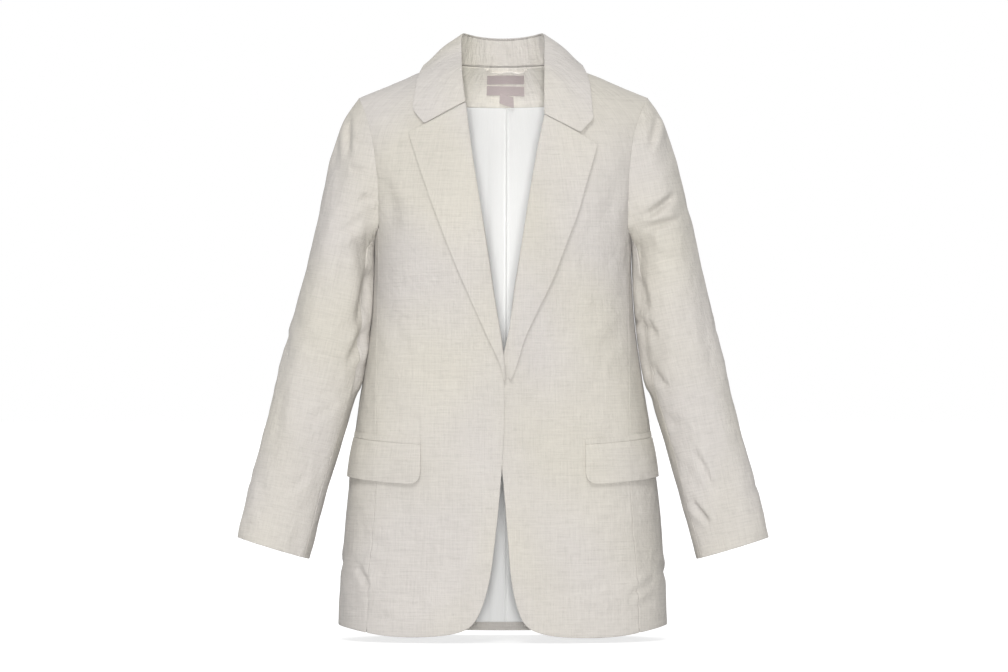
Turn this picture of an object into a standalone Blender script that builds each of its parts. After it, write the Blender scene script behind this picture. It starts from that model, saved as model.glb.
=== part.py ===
"""Single breasted linen blazer, filled out with no wearer, as one wall of cloth per cut piece.

Metres, +Z up. The origin is at the base of the back neck, on the centre line between the shoulder
seams. +X is the wearer's left and the front faces -Y. Every cloth piece is a closed wall: a grid of
points on its outer face, and the same grid moved in along the surface's own normal.
"""
import math

import bmesh
import bpy
import numpy as np

# Driving sizes of the coat
NECK_X = 0.078            # half the neck width at the shoulder seam
NECK_Z = 0.004
TIP_X = 0.198             # shoulder seam's outer end
TIP_Z = -0.047
ROUND_DEPTH = 0.085       # the shoulder rounds off to the chest over this height
FULLNESS = 2.5            # exponent of the body's rings: 2 is an ellipse, more is squarer
SEAM_GAP = 0.0003
SEAM_STEPS = 8            # passes to settle the shoulder seam's height
ARMPIT_Z = -0.225         # armhole height at the side panel's seams
ARMPIT_DIP = 0.020        # how much lower the armhole is at the side

# Walls: shell and its backing, lining, and the small pieces
SHELL = 0.0018
TURNED = 0.0018
LINING = 0.0010
WELT = 0.0011
FLAP = 0.0020
LABEL = 0.0008
LOOP_RADIUS = 0.0013

ROLL_LIFT = 0.0012        # a turned layer's outer face above the front, at its fold
LAPEL_LIFT = 0.0032       # a lapel's outer face above the front, near its roll
LAPEL_SPRING = 0.0020     # and how much further its free edge stands off
FOLD_INSET = 0.0030       # the front stops this far short of the roll line, inside the fold
OVERLAP_LIFT = 0.0030     # the right front rides over the left front by this much
LINING_FACE = -0.0042     # linings lie this far inside the back's outer face
LABEL_FACE = -0.0062
TAB_FACE = -0.0078
LOOP_FACE = -0.0074

# The body's rings: height, half width, depth to the front and to the back
RINGS = np.array([
    # z,     half_width, front, back
    (-0.800, 0.2270, 0.122, 0.122),
    (-0.730, 0.2250, 0.121, 0.121),
    (-0.680, 0.2210, 0.120, 0.119),
    (-0.620, 0.2170, 0.119, 0.117),
    (-0.570, 0.2120, 0.119, 0.115),
    (-0.500, 0.2030, 0.118, 0.112),
    (-0.460, 0.1970, 0.118, 0.110),
    (-0.400, 0.1860, 0.118, 0.108),
    (-0.340, 0.1790, 0.119, 0.109),
    (-0.280, 0.1755, 0.120, 0.112),
    (-0.240, 0.1770, 0.119, 0.116),
    (-0.200, 0.1860, 0.115, 0.117),
    (-0.150, 0.1970, 0.107, 0.114),
    (-0.100, 0.2050, 0.096, 0.104),
    (-0.050, 0.2120, 0.082, 0.090),
    (0.0500, 0.2200, 0.070, 0.076),
])

# The front's outer edge: its seam to the side panel, then the armhole
FRONT_OUTER = np.array([
    # z,      x
    (-0.800, 0.1860),
    (-0.700, 0.1830),
    (-0.600, 0.1720),
    (-0.225, 0.1700),
    (-0.170, 0.1690),
    (-0.130, 0.1725),
    (-0.097, 0.1790),
    (-0.070, 0.1870),
    (-0.052, 0.1950),
    (-0.047, 0.1980),
])
BACK_OUTER = np.array([
    # z,      x
    (-0.800, 0.1900),
    (-0.600, 0.1800),
    (-0.400, 0.1620),
    (-0.225, 0.1620),
    (-0.180, 0.1610),
    (-0.140, 0.1650),
    (-0.097, 0.1760),
    (-0.070, 0.1860),
    (-0.052, 0.1950),
    (-0.047, 0.1980),
])

# Each front's inner edge from the hem corner up: the free edge, the roll line, the neck
RIGHT_EDGE = np.array([
    # z,        x
    (-0.7616, -0.0350),
    (-0.7410, -0.0230),
    (-0.7100, -0.0177),
    (-0.6570, -0.0116),
    (-0.5890, -0.0040),
    (-0.5300, 0.0000),
    (-0.4690, 0.0030),
    (-0.4370, 0.0052),
    (-0.4030, 0.0020),
    (-0.3686, -0.0027),
    (-0.3250, -0.0103),
    (-0.2450, -0.0218),
    (-0.1877, -0.0313),
    (-0.1200, -0.0425),
    (-0.0560, -0.0520),
    (-0.0330, -0.0570),
    (-0.0130, -0.0665),
    (0.0040, -0.0780),
])
LEFT_EDGE = np.array([
    # z,        x
    (-0.7636, 0.0250),
    (-0.7466, 0.0155),
    (-0.7190, 0.0114),
    (-0.6470, 0.0070),
    (-0.5890, 0.0020),
    (-0.5500, -0.0010),
    (-0.5000, -0.0090),
    (-0.4600, -0.0120),
    (-0.4200, -0.0090),
    (-0.3780, 0.0030),
    (-0.3590, 0.0077),
    (-0.3114, 0.0146),
    (-0.2543, 0.0241),
    (-0.1877, 0.0345),
    (-0.1200, 0.0455),
    (-0.0728, 0.0540),
    (-0.0400, 0.0580),
    (-0.0160, 0.0665),
    (0.0040, 0.0780),
])
# The hem's height across a front, from its rounded corner (0) to the side panel's seam (1)
FRONT_HEM = np.array([
    # across, drop below the corner
    (0.00, 0.0000),
    (0.09, 0.0105),
    (0.22, 0.0165),
    (0.55, 0.0185),
    (0.80, 0.0160),
    (1.00, 0.0124),
])
SEAM_HEM_Z = -0.7750      # the hem's height at the side panel's two seams
SIDE_HEM_RISE = 0.0085    # and how much higher it is at the side
BACK_HEM_Z = -0.7820
LINING_HEM_Z = -0.7700
LINING_REACH = 0.1500     # half the lining's width
LINING_MARGIN = 0.0120    # where the back is narrow, the lining ends this far inside its edge
PLEAT_LEFT = -0.0200      # the lining's laid pleat, seen from behind: its two edges
PLEAT_RIGHT = 0.0050
PLEAT_TURN = 0.0040       # each edge rises over this width
PLEAT_HEIGHT = 0.0022
FACING_Z = -0.0555

# Lapels: free edge from the tip down, and the corner where the collar's notch is
LAPELS = {
    "right": {
        "roll": np.array([(-0.0558, -0.0503), (-0.1200, -0.0422), (-0.1877, -0.0313), (-0.2450, -0.0218),
                          (-0.3250, -0.0103), (-0.3686, -0.0027), (-0.4030, 0.0020), (-0.4300, 0.0046)]),
        "free": np.array([(-0.0966, -0.1278), (-0.1470, -0.1115), (-0.2040, -0.0919), (-0.2680, -0.0672),
                          (-0.3210, -0.0446), (-0.3800, -0.0180), (-0.4100, -0.0040), (-0.4330, 0.0012)]),
        "notch": (-0.1060, -0.0864),
    },
    "left": {
        "roll": np.array([(-0.0728, 0.0558), (-0.1200, 0.0458), (-0.1877, 0.0345), (-0.2543, 0.0241),
                          (-0.3114, 0.0146), (-0.3590, 0.0090), (-0.4000, 0.0062), (-0.4300, 0.0072)]),
        "free": np.array([(-0.1129, 0.1278), (-0.1620, 0.1137), (-0.2080, 0.1004), (-0.2470, 0.0851),
                          (-0.2910, 0.0698), (-0.3730, 0.0298), (-0.4010, 0.0222), (-0.4330, 0.0110)]),
        "notch": (0.1047, -0.0985),
    },
}
TURN_COLUMNS = (0.0, 0.04, 0.14, 0.35, 0.58, 0.80, 1.0)
NOTCH_AT = 0.80           # the notch lies this far along a lapel's top and a collar's end

# The collar by stations from centre back to its front end: the fold, and the free edge
COLLAR_BACK = np.array([
    # fold x, y,     z,       edge x, y,     z
    (0.0000, 0.0585, 0.0375, 0.0000, 0.0860, -0.0160),
    (0.0280, 0.0530, 0.0390, 0.0440, 0.0800, -0.0150),
    (0.0480, 0.0360, 0.0425, 0.0840, 0.0560, -0.0100),
    (0.0565, 0.0130, 0.0450, 0.1080, 0.0120, 0.0020),
    (0.0570, -0.0060, 0.0330, 0.1095, -0.0100, -0.0025),
])
# In front of the shoulder, on each side: fold x, z and edge x, z, laid on the front
COLLAR_FRONT = {
    "right": np.array([(0.0565, 0.0115, 0.1115, -0.0190), (0.0560, -0.0050, 0.1145, -0.0290),
                       (0.0550, -0.0260, 0.1175, -0.0430)]),
    "left": np.array([(0.0565, 0.0115, 0.1125, -0.0210), (0.0565, -0.0080, 0.1150, -0.0330),
                      (0.0560, -0.0330, 0.1180, -0.0500)]),
}
COLLAR_TIP = {"right": (-0.1224, -0.0688), "left": (0.1217, -0.0802)}
COLLAR_FRONT_Y = (-0.022, -0.050, -0.073)   # the fold's depth at those stations
COLLAR_LIFT = 0.0070
STAND_FEET = (0.000, 0.030, 0.054, 0.072)    # where the stand meets the neck, out from the centre

# Sleeves by sections down the arm: outer and inner points, depth to each side, the middle's y
SLEEVE = np.array([
    # outer x, outer z, inner x, inner z, half depth, middle y
    (0.2580, -0.2280, 0.1806, -0.2560, 0.0660, -0.006),
    (0.2750, -0.2960, 0.1818, -0.3180, 0.0630, -0.009),
    (0.2920, -0.3645, 0.1880, -0.3880, 0.0590, -0.013),
    (0.3090, -0.4325, 0.2020, -0.4600, 0.0540, -0.018),
    (0.3250, -0.5000, 0.2240, -0.5280, 0.0480, -0.023),
    (0.3440, -0.5680, 0.2420, -0.5960, 0.0430, -0.028),
    (0.3540, -0.6080, 0.2530, -0.6370, 0.0400, -0.031),
    (0.3620, -0.6470, 0.2640, -0.6765, 0.0380, -0.034),
])
HEAD_ROWS = 6
HEAD_GAP = 0.0006         # the sleeve head's edge stays this far out of the armhole's
UNDERARM_GAP = 0.0026     # and this much further under the arm, where the two walls run side by side
FRONT_SEAM_POINT = 8      # the armhole's points where the sleeve's two seams start
BACK_SEAM_POINT = 15
SIDE_COLUMNS = np.linspace(0.0, 1.0, 8)
HEAD_PUFF = 0.012         # the sleeve head stands out past a straight line to the bicep

# Pockets: the flap's four corners on the right front, mirrored for the left
POCKET = {"inner_x": 0.1110, "outer_deg": 80.0, "top_inner_z": -0.5195, "top_outer_z": -0.5105,
          "length": 0.0540, "welt": 0.0075, "corner": 0.0120, "corner_from": 0.78, "radius": 0.2}
WELT_GAP = 0.0004         # between the welt and the flap's top
WELT_LIFT = 0.0017        # their outer faces above the front
FLAP_LIFT = 0.0024
FLAP_SPRING = 0.0022      # the flap's lower edge stands off by this much more
FLAP_BELLY = 0.0012       # and its middle bows out

LINEN = (0.70, 0.66, 0.585, 1.0)
WHITE = (0.84, 0.84, 0.83, 1.0)
MAUVE = (0.50, 0.41, 0.41, 1.0)


def clear_scene():
    """Remove whatever objects are in the open file."""
    for item in list(bpy.data.objects):
        bpy.data.objects.remove(item, do_unlink=True)


def finish(name, colour, roughness):
    """Return a plain material."""
    material = bpy.data.materials.new(name)
    material.use_nodes = True
    shader = material.node_tree.nodes["Principled BSDF"]
    shader.inputs["Base Color"].default_value = colour
    shader.inputs["Roughness"].default_value = roughness
    return material


def smooth(value):
    """Ease a value from 0 to 1."""
    t = min(max(value, 0.0), 1.0)
    return t * t * (3.0 - 2.0 * t)


def read(table, at, column=1):
    """Read a table's column where its first column equals a value."""
    return float(np.interp(at, table[:, 0], table[:, column]))


def ring(z):
    """Return half width, front depth and back depth of the body at a height, smoothed."""
    spread = 0.012
    heights = (z - spread, z, z + spread)
    rows = [[read(RINGS, h, column) for column in (1, 2, 3)] for h in heights]
    return np.dot((0.25, 0.5, 0.25), rows)


def shoulder_z(x):
    """Return the height of the shoulder line above a place."""
    slope = (NECK_Z - TIP_Z) / (TIP_X - NECK_X)
    return NECK_Z + slope * (NECK_X - abs(x))


def body(angle, z):
    """Return a point of the body's outer face: angle 0 is centre front, 90 the left side."""
    half, front, back = ring(z)
    power = 2.0 / FULLNESS
    sine = math.sin(angle)
    cosine = math.cos(angle)
    x = half * math.copysign(abs(sine) ** power, sine)
    depth = front if cosine > 0.0 else back
    below = (shoulder_z(x) - z) / ROUND_DEPTH
    rounding = math.sqrt(1.0 - (1.0 - min(max(below, 0.0), 1.0)) ** 2)
    y = -math.copysign(abs(cosine) ** power, cosine) * depth * rounding
    return np.array((x, y, z))


def angle_at(x, z, behind=False):
    """Return the body angle of a place seen from the front, or on the back."""
    half = ring(z)[0]
    angle = math.asin(min(abs(x) / half, 1.0) ** (FULLNESS / 2.0))
    if behind:
        angle = math.pi - angle
    return math.copysign(angle, x)


def lifted(angle, z, lift):
    """Return a point of the body moved out along its normal."""
    step = 1e-4
    point = body(angle, z)
    round_way = body(angle + step, z) - body(angle - step, z)
    up = body(angle, z + step) - body(angle, z - step)
    normal = np.cross(round_way, up)
    return point + normal / np.linalg.norm(normal) * lift


def seam_height(across):
    """Return the shoulder seam's height at a share of the way round from the neck to the tip."""
    z = NECK_Z + (TIP_Z - NECK_Z) * across
    for _ in range(SEAM_STEPS):
        start = angle_at(NECK_X, z)
        end = angle_at(TIP_X - SEAM_GAP / 2.0, z)
        z = shoulder_z(body(start + (end - start) * across, z)[0])
    return z


def overlap(x, z):
    """Return how far the right front stands off where it lies on the left front."""
    across = smooth((x + 0.040) / 0.022)
    along = smooth((z + 0.600) / 0.040) * smooth((-0.330 - z) / 0.035)
    return OVERLAP_LIFT * across * along


def front_at(x, z, lift=0.0, side="right"):
    """Return a point above a front's outer face."""
    if side == "right":
        lift += overlap(x, z)
    return lifted(angle_at(x, z), z, lift)


def back_at(x, z, lift=0.0):
    """Return a point above the back's outer face, or inside it where lift is negative."""
    return lifted(angle_at(x, z, behind=True), z, lift)


def wall(name, outer, inner, material, closed=False):
    """Make one closed body between two grids of points."""
    rows, columns = len(outer), len(outer[0])
    mesh = bmesh.new()
    skins = []
    for grid in (outer, inner):
        skins.append([[mesh.verts.new(point) for point in row] for row in grid])
    last = columns if closed else columns - 1
    for row in range(rows - 1):
        for column in range(last):
            after = (column + 1) % columns
            for skin, turn in ((skins[0], 1), (skins[1], -1)):
                corners = (skin[row][column], skin[row][after], skin[row + 1][after], skin[row + 1][column])
                mesh.faces.new(corners[::turn])
    rims = [((0, c), (0, (c + 1) % columns)) for c in range(last)]
    rims += [((rows - 1, (c + 1) % columns), (rows - 1, c)) for c in range(last)]
    if not closed:
        rims += [((r + 1, 0), (r, 0)) for r in range(rows - 1)]
        rims += [((r, columns - 1), (r + 1, columns - 1)) for r in range(rows - 1)]
    for (r0, c0), (r1, c1) in rims:
        mesh.faces.new((skins[0][r1][c1], skins[0][r0][c0], skins[1][r0][c0], skins[1][r1][c1]))
    bmesh.ops.recalc_face_normals(mesh, faces=mesh.faces)
    if mesh.calc_volume(signed=True) < 0.0:
        bmesh.ops.reverse_faces(mesh, faces=mesh.faces)
    data = bpy.data.meshes.new(name)
    mesh.to_mesh(data)
    mesh.free()
    data.materials.append(material)
    data.shade_smooth()
    data.set_sharp_from_angle(angle=math.radians(40.0))
    piece = bpy.data.objects.new(name, data)
    bpy.context.scene.collection.objects.link(piece)
    return piece


def layered(name, place, us, vs, thickness, material, lift=0.0):
    """Make a wall from place(u, v, lift), its inner face one thickness further in."""
    outer = [[place(u, v, lift) for u in us] for v in vs]
    inner = [[place(u, v, lift - thickness) for u in us] for v in vs]
    return wall(name, outer, inner, material)


def loft(name, outer, thickness, material, centre=None):
    """Make a wall from a grid alone, moved in along the grid's own normals."""
    grid = np.array(outer)
    across = np.gradient(grid, axis=1)
    along = np.gradient(grid, axis=0)
    normals = np.cross(across, along)
    normals /= np.linalg.norm(normals, axis=2, keepdims=True)
    if centre is not None and np.sum((grid - centre) * normals) < 0.0:
        normals = -normals
    return wall(name, grid, grid - normals * thickness, material)


def seam_heights():
    """Return the heights of the rows along a side seam, from the hem to the armhole."""
    return np.linspace(SEAM_HEM_Z, ARMPIT_Z, 12)


def body_rows():
    """Return row places from the hem (0) to the shoulder (1), close together at the shoulder."""
    top = [ROUND_DEPTH * (1.0 - math.cos(math.radians(a))) for a in np.linspace(80.0, 0.25, 6)]
    heights = list(seam_heights()) + [-0.175] + [TIP_Z - drop for drop in top]
    return [(z - SEAM_HEM_Z) / (TIP_Z - SEAM_HEM_Z) for z in heights]


def side_sign(side):
    """Return -1 for the wearer's right and 1 for the wearer's left."""
    return -1.0 if side == "right" else 1.0


def build_front(side, material):
    """Make a front from its free edge and roll line out to the side panel's seam and the armhole."""
    sign = side_sign(side)
    edge = RIGHT_EDGE if side == "right" else LEFT_EDGE
    corner_z = edge[0, 0]
    settle = SEAM_HEM_Z - (corner_z - FRONT_HEM[-1, 1])

    def place(across, up, lift):
        hem = corner_z - read(FRONT_HEM, across) + settle * across
        z = hem + (tops[across] - hem) * up
        inner_z = corner_z + (NECK_Z - corner_z) * up
        inset = FOLD_INSET * smooth((inner_z + 0.46) / 0.03) * smooth((NECK_Z - inner_z) / 0.054)
        inner_x = read(edge, inner_z) + sign * inset
        outer_x = sign * (read(FRONT_OUTER, z) - SEAM_GAP / 2.0)
        start = angle_at(inner_x, z)
        end = angle_at(outer_x, z)
        angle = start + (end - start) * across
        if side == "right":
            lift += overlap(body(angle, z)[0], z)
        return lifted(angle, z, lift)

    columns = (0.0, 0.09, 0.2, 0.34, 0.5, 0.66, 0.8, 0.91, 1.0)
    tops = {across: seam_height(across) for across in columns}
    return layered("front_" + side, place, columns, body_rows(), SHELL, material)


def build_side_panel(side, material):
    """Make the panel under an arm, between the front and the back."""
    sign = side_sign(side)

    def place(across, up, lift):
        hem = SEAM_HEM_Z + SIDE_HEM_RISE * math.sin(math.pi * across)
        top = ARMPIT_Z - ARMPIT_DIP * math.sin(math.pi * across)
        z = hem + (top - hem) * up
        start = angle_at(read(FRONT_OUTER, z) + SEAM_GAP / 2.0, z)
        end = angle_at(read(BACK_OUTER, z) + SEAM_GAP / 2.0, z, behind=True)
        return lifted(sign * (start + (end - start) * across), z, lift)

    rows = (seam_heights() - SEAM_HEM_Z) / (ARMPIT_Z - SEAM_HEM_Z)
    return layered("side_panel_" + side, place, SIDE_COLUMNS, rows, SHELL, material)


def back_top(x):
    """Return the height of the back's top edge: the neck, then the shoulder seams."""
    if abs(x) < NECK_X:
        return NECK_Z * (x / NECK_X) ** 2
    return shoulder_z(x)


def build_back(material):
    """Make the whole back, from one side panel's seam to the other."""
    def place(across, up, lift):
        low = BACK_HEM_Z + (SEAM_HEM_Z - BACK_HEM_Z) * abs(across) ** 2
        top = back_top(across * (TIP_X - SEAM_GAP / 2.0))
        z = low + (top - low) * up
        x = across * (read(BACK_OUTER, z) - SEAM_GAP / 2.0)
        return lifted(angle_at(x, z, behind=True), z, lift)

    half = (0.0, 0.13, 0.27, NECK_X / TIP_X, 0.55, 0.7, 0.84, 0.93, 1.0)
    columns = [-c for c in reversed(half[1:])] + list(half)
    return layered("back", place, columns[::-1], body_rows(), SHELL, material)


def build_back_linings(linen, white):
    """Make the neck facing and the back lining, whose centre pleat is laid to one side."""
    def facing_place(across, up, lift):
        x = across * (NECK_X - 0.004)
        top = back_top(x) - 0.0008
        low = FACING_Z + 0.004 * across ** 2
        return back_at(x, low + (top - low) * up, lift + LINING_FACE)

    columns = np.linspace(1.0, -1.0, 9)
    layered("back_neck_facing", facing_place, columns, np.linspace(0.0, 1.0, 5), LINING, linen)

    def lining_place(x, up, lift):
        top = FACING_Z + 0.004 * min(abs(x) / NECK_X, 1.0) ** 2 - SEAM_GAP
        z = LINING_HEM_Z + (top - LINING_HEM_Z) * up
        reach = min(1.0, (read(BACK_OUTER, z) - LINING_MARGIN) / LINING_REACH)
        return back_at(x * reach, z, lift + LINING_FACE - pleat(x) * smooth((FACING_Z - z) / 0.030))

    half = (LINING_REACH, 0.120, 0.085, 0.050, 0.026)
    pleat_columns = (PLEAT_RIGHT, PLEAT_RIGHT - PLEAT_TURN, PLEAT_LEFT + PLEAT_TURN, PLEAT_LEFT)
    columns = half + pleat_columns + tuple(-x for x in half[::-1])
    layered("lining_back", lining_place, columns, np.linspace(0.0, 1.0, 15), LINING, white)


def pleat(x):
    """Return how far the lining's laid pleat stands in from the back."""
    rise = smooth((x - PLEAT_LEFT) / PLEAT_TURN)
    fall = smooth((PLEAT_RIGHT - x) / PLEAT_TURN)
    return PLEAT_HEIGHT * rise * fall


def end_line(start, notch, tip, across):
    """Follow a seam from its start to the notch and on to the tip."""
    if across <= NOTCH_AT:
        return start + (notch - start) * (across / NOTCH_AT)
    return notch + (tip - notch) * ((across - NOTCH_AT) / (1.0 - NOTCH_AT))


def roll_lift(across, width):
    """Return the height of a turned layer across its width, rising out of its fold."""
    turned = min(across * width / FOLD_INSET, 1.0)
    rise = (LAPEL_LIFT - ROLL_LIFT) * math.sin(turned * math.pi / 2.0)
    return ROLL_LIFT + rise + LAPEL_SPRING * across ** 2


def build_lapel(side, material):
    """Make a lapel, turned back over the front from its roll line."""
    shape = LAPELS[side]
    roll = shape["roll"]
    free = shape["free"]
    notch = np.array(shape["notch"])
    places = np.linspace(0.0, 1.0, len(roll))

    def corner(table, down):
        return np.array((np.interp(down, places, table[:, 1]), np.interp(down, places, table[:, 0])))

    def place(across, down, lift):
        inner = corner(roll, down)
        outer = corner(free, down)
        point = inner + (outer - inner) * across
        straight = corner(roll, 0.0) * (1.0 - across) + corner(free, 0.0) * across
        seam = end_line(corner(roll, 0.0), notch, corner(free, 0.0), across)
        point += (seam - straight) * (1.0 - smooth(down / 0.16))
        point[1] -= SEAM_GAP * (1.0 - down)
        width = max(np.linalg.norm(outer - inner), 0.004)
        rise = roll_lift(across, width)
        if side == "left":
            rise = max(rise, LAPEL_LIFT * smooth((-0.330 - point[1]) / 0.030))
        return front_at(point[0], point[1], lift + rise, side)

    rows = np.linspace(0.0, 1.0, 15)
    return layered("lapel_" + side, place, TURN_COLUMNS, rows, TURNED, material)


def collar_stations(side):
    """Return fold and free edge points, from centre back to the front on one side."""
    sign = side_sign(side)
    folds = [np.array((sign * row[0], row[1], row[2])) for row in COLLAR_BACK]
    edges = [np.array((sign * row[3], row[4], row[5])) for row in COLLAR_BACK]
    for row, depth in zip(COLLAR_FRONT[side], COLLAR_FRONT_Y):
        folds.append(np.array((sign * row[0], depth, row[1])))
        edges.append(front_at(sign * row[2], row[3], COLLAR_LIFT, side))
    return folds, edges


def collar_end(side, across):
    """Return a point of the collar's front end: along the gorge seam, then up to the tip."""
    shape = LAPELS[side]
    start = np.array((shape["roll"][0, 1], shape["roll"][0, 0]))
    point = end_line(start, np.array(shape["notch"]), np.array(COLLAR_TIP[side]), across)
    return front_at(point[0], point[1] + 3.0 * SEAM_GAP, roll_lift(across, 0.07) + 0.0006, side)


def laid(point, across, side):
    """Lay a point of the collar over the shoulder, where it would fall through the front."""
    x, y, _ = point
    half, front, _ = ring(shoulder_z(x))
    depth = front * (1.0 - (abs(x) / half) ** FULLNESS) ** (1.0 / FULLNESS)
    forward = min(abs(y) / depth, 0.98)
    z = shoulder_z(x) - ROUND_DEPTH * (1.0 - math.sqrt(1.0 - forward ** 2))
    hold = smooth(across / 0.3)
    return point * (1.0 - hold) + front_at(x, z, COLLAR_LIFT, side) * hold


def build_collar(material):
    """Make the fall, turned down from the fold, and the stand inside it."""
    columns = TURN_COLUMNS
    half = {}
    for side in ("right", "left"):
        folds, edges = collar_stations(side)
        rows = []
        for number, (fold, edge) in enumerate(zip(folds, edges)):
            out = np.array((side_sign(side) * min(number, 2) / 2.0, 1.0 - min(number, 4) / 2.0, 0.35))
            bulge = [0.004 * math.sin(math.pi * min(c * 1.2, 1.0)) for c in columns]
            row = [fold + (edge - fold) * c + out * b for c, b in zip(columns, bulge)]
            if number >= len(COLLAR_BACK):
                row = [laid(point, c, side) for point, c in zip(row, columns)]
            rows.append(row)
        rows.append([collar_end(side, c) for c in columns])
        half[side] = rows
    grid = half["right"][:0:-1] + half["left"]
    loft("collar_fall", grid, TURNED, material, centre=np.array((0.0, 0.0, -0.05)))
    stand = []
    for side in ("right", "left"):
        folds, _ = collar_stations(side)
        rows = []
        for fold, across in zip(folds, STAND_FEET):
            x = side_sign(side) * across
            foot = back_at(x, back_top(x), -0.0006)
            foot[2] += 0.0022
            top = fold + (foot - fold) * 0.16
            rows.append([top + (foot - top) * c for c in (0.0, 0.35, 0.7, 1.0)])
        stand.append(rows)
    grid = stand[0][:0:-1] + stand[1]
    loft("collar_stand", grid, LINING, material, centre=np.array((0.0, 0.0, 0.0)))


def armhole(side):
    """Return the points round an armhole, each at a row or column of the panels that it joins.

    They run from the shoulder's tip down the front, along the side panel and up the back.
    """
    sign = side_sign(side)
    heights = [SEAM_HEM_Z + (TIP_Z - SEAM_HEM_Z) * up for up in body_rows()]
    heights = [z for z in reversed(heights) if z > ARMPIT_Z - SEAM_GAP]
    points = [lifted(sign * angle_at(read(FRONT_OUTER, z), z), z, 0.0) for z in heights]
    for across in SIDE_COLUMNS[1:-1]:
        z = ARMPIT_Z - ARMPIT_DIP * math.sin(math.pi * across)
        start = angle_at(read(FRONT_OUTER, z), z)
        end = angle_at(read(BACK_OUTER, z), z, behind=True)
        points.append(lifted(sign * (start + (end - start) * across), z, 0.0))
    points += [lifted(sign * angle_at(read(BACK_OUTER, z), z, behind=True), z, 0.0) for z in heights[:0:-1]]
    return np.array(points)


def turns_round(ring_points):
    """Return how far round each point of a closed ring is, from 0 to one whole turn."""
    steps = np.linalg.norm(np.roll(ring_points, -1, axis=0) - ring_points, axis=1)
    places = np.concatenate(([0.0], np.cumsum(steps)[:-1]))
    return places / np.sum(steps) * 2.0 * math.pi


def sleeve_ring(side, row, turns):
    """Return one section of a sleeve, from its outer point round the front."""
    sign = side_sign(side)
    outer = np.array((sign * row[0], row[5], row[1]))
    inner = np.array((sign * row[2], row[5], row[3]))
    middle = (outer + inner) / 2.0
    forward = np.array((0.0, -row[4], 0.0))
    return np.array([middle + (outer - middle) * math.cos(t) + forward * math.sin(t) for t in turns])


def sleeve_grid(side):
    """Return a sleeve's outer face, from the armhole to the cuff."""
    sign = side_sign(side)
    hole = armhole(side)
    turns = turns_round(hole)
    low = (1.0 - np.cos(turns)) / 2.0
    hole[:, 0] += sign * (HEAD_GAP + UNDERARM_GAP * low ** 3)
    hole[:, 2] += 0.0010 * low
    bicep = sleeve_ring(side, SLEEVE[0], turns)
    rows = [hole]
    for step in range(1, HEAD_ROWS):
        part = step / HEAD_ROWS
        blend = hole + (bicep - hole) * part
        puff = HEAD_PUFF * math.sin(math.pi * part ** 0.6) * (1.0 - low) ** 1.5
        blend[:, 0] += sign * puff * 0.9
        blend[:, 2] += puff * 0.45
        rows.append(blend)
    for row in SLEEVE:
        rows.append(sleeve_ring(side, row, turns))
    return np.array(rows)


def build_sleeve(side, material):
    """Make the upper and the under sleeve, joined at a front and a back seam.

    The first row's normals are turned to face the panels squarely, so that the edges meet flat.
    """
    grid = sleeve_grid(side)
    count = grid.shape[1]
    ahead = np.roll(grid, -1, axis=1) - np.roll(grid, 1, axis=1)
    along = np.gradient(grid, axis=0)
    sign = side_sign(side)
    normals = np.cross(ahead, along) * sign
    normals /= np.linalg.norm(normals, axis=2, keepdims=True)
    first = normals[0]
    first[:, 0] = sign * np.minimum(first[:, 0] * sign, 0.0)
    normals[0] = first / np.linalg.norm(first, axis=1, keepdims=True)
    inner = grid - normals * SHELL

    upper = range(BACK_SEAM_POINT - count, FRONT_SEAM_POINT + 1)
    under = range(FRONT_SEAM_POINT, BACK_SEAM_POINT + 1)
    for name, columns in (("sleeve_upper_", upper), ("sleeve_under_", under)):
        picked = [c % count for c in columns]
        faces = []
        for layer in (grid, inner):
            piece = layer[:, picked].copy()
            for end, neighbour in ((0, 1), (-1, -2)):
                step = piece[:, neighbour] - piece[:, end]
                step /= np.linalg.norm(step, axis=1, keepdims=True)
                piece[:, end] += step * SEAM_GAP
            faces.append(piece)
        wall(name + side, faces[0], faces[1], material)


def build_pocket(side, material):
    """Make a pocket's welt and the flap that hangs from under it."""
    sign = side_sign(side)
    outer = math.radians(POCKET["outer_deg"])

    corner_from = POCKET["corner_from"]

    def place(across, drop, lift, inset):
        slope = POCKET["top_outer_z"] - POCKET["top_inner_z"]
        z = POCKET["top_inner_z"] + slope * across - drop
        start = abs(angle_at(POCKET["inner_x"], z)) + inset / POCKET["radius"]
        return lifted(sign * (start + (outer - start) * across), z, lift)

    def welt_place(across, down, lift):
        return place(across, POCKET["welt"] * (down - 1.0) - WELT_GAP, lift + WELT_LIFT, 0.0)

    def flap_place(across, down, lift):
        stand_off = FLAP_LIFT + FLAP_SPRING * down + FLAP_BELLY * math.sin(math.pi * down)
        rounding = POCKET["corner"] * max(0.0, (down - corner_from) / (1.0 - corner_from)) ** 2
        return place(across, POCKET["length"] * down, lift + stand_off, rounding)

    columns = np.linspace(0.0, 1.0, 8)
    welt_rows = (0.0, 0.5, 1.0)
    flap_rows = (0.0, 0.25, 0.5, corner_from, 0.9, 1.0)
    layered("pocket_welt_" + side, welt_place, columns, welt_rows, WELT, material)
    layered("pocket_flap_" + side, flap_place, columns, flap_rows, FLAP, material)


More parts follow.
